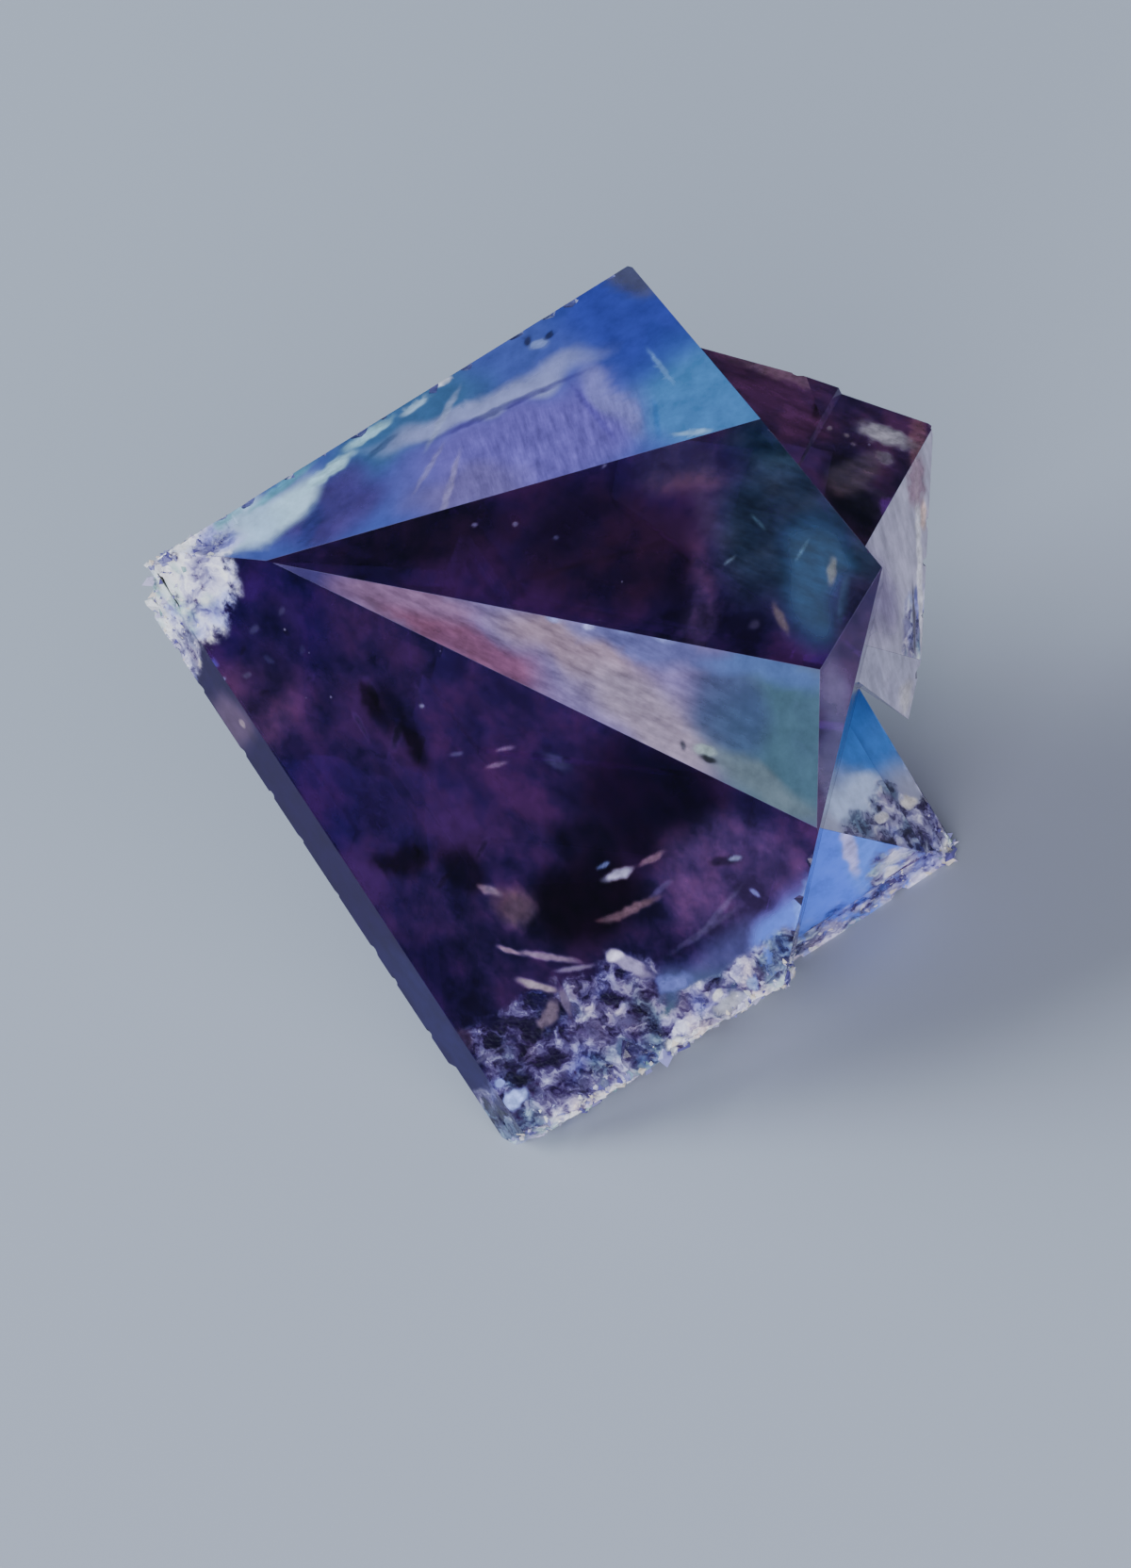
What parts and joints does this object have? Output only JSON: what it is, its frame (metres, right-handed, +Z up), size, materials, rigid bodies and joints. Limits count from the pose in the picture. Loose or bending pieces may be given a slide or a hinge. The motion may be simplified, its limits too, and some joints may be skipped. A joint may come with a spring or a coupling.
{
  "type": "fluorite octahedron",
  "caption": "Clear purple and blue fluorite octahedron with uneven front facets and a second octahedron grown through its upper right side, lying on one face",
  "frame": {"origin": "on the flat octahedral face that the crystal lies on, straight below the middle of the large octahedron", "axes": "+Z up, out of the surface it lies on; the four-fold front of the large octahedron looks towards -Y and 35 degrees above the horizon; +X to the right seen from there"},
  "size_m": [0.0242, 0.0259, 0.0189],
  "materials": {
    "fluorite": "clear purple to blue fluorite, glossy growth faces, frosted and crushed at the chipped edges"
  },
  "bodies": {
    "root": {"fluorite_crystal": "fluorite"}
  },
  "joints": []
}
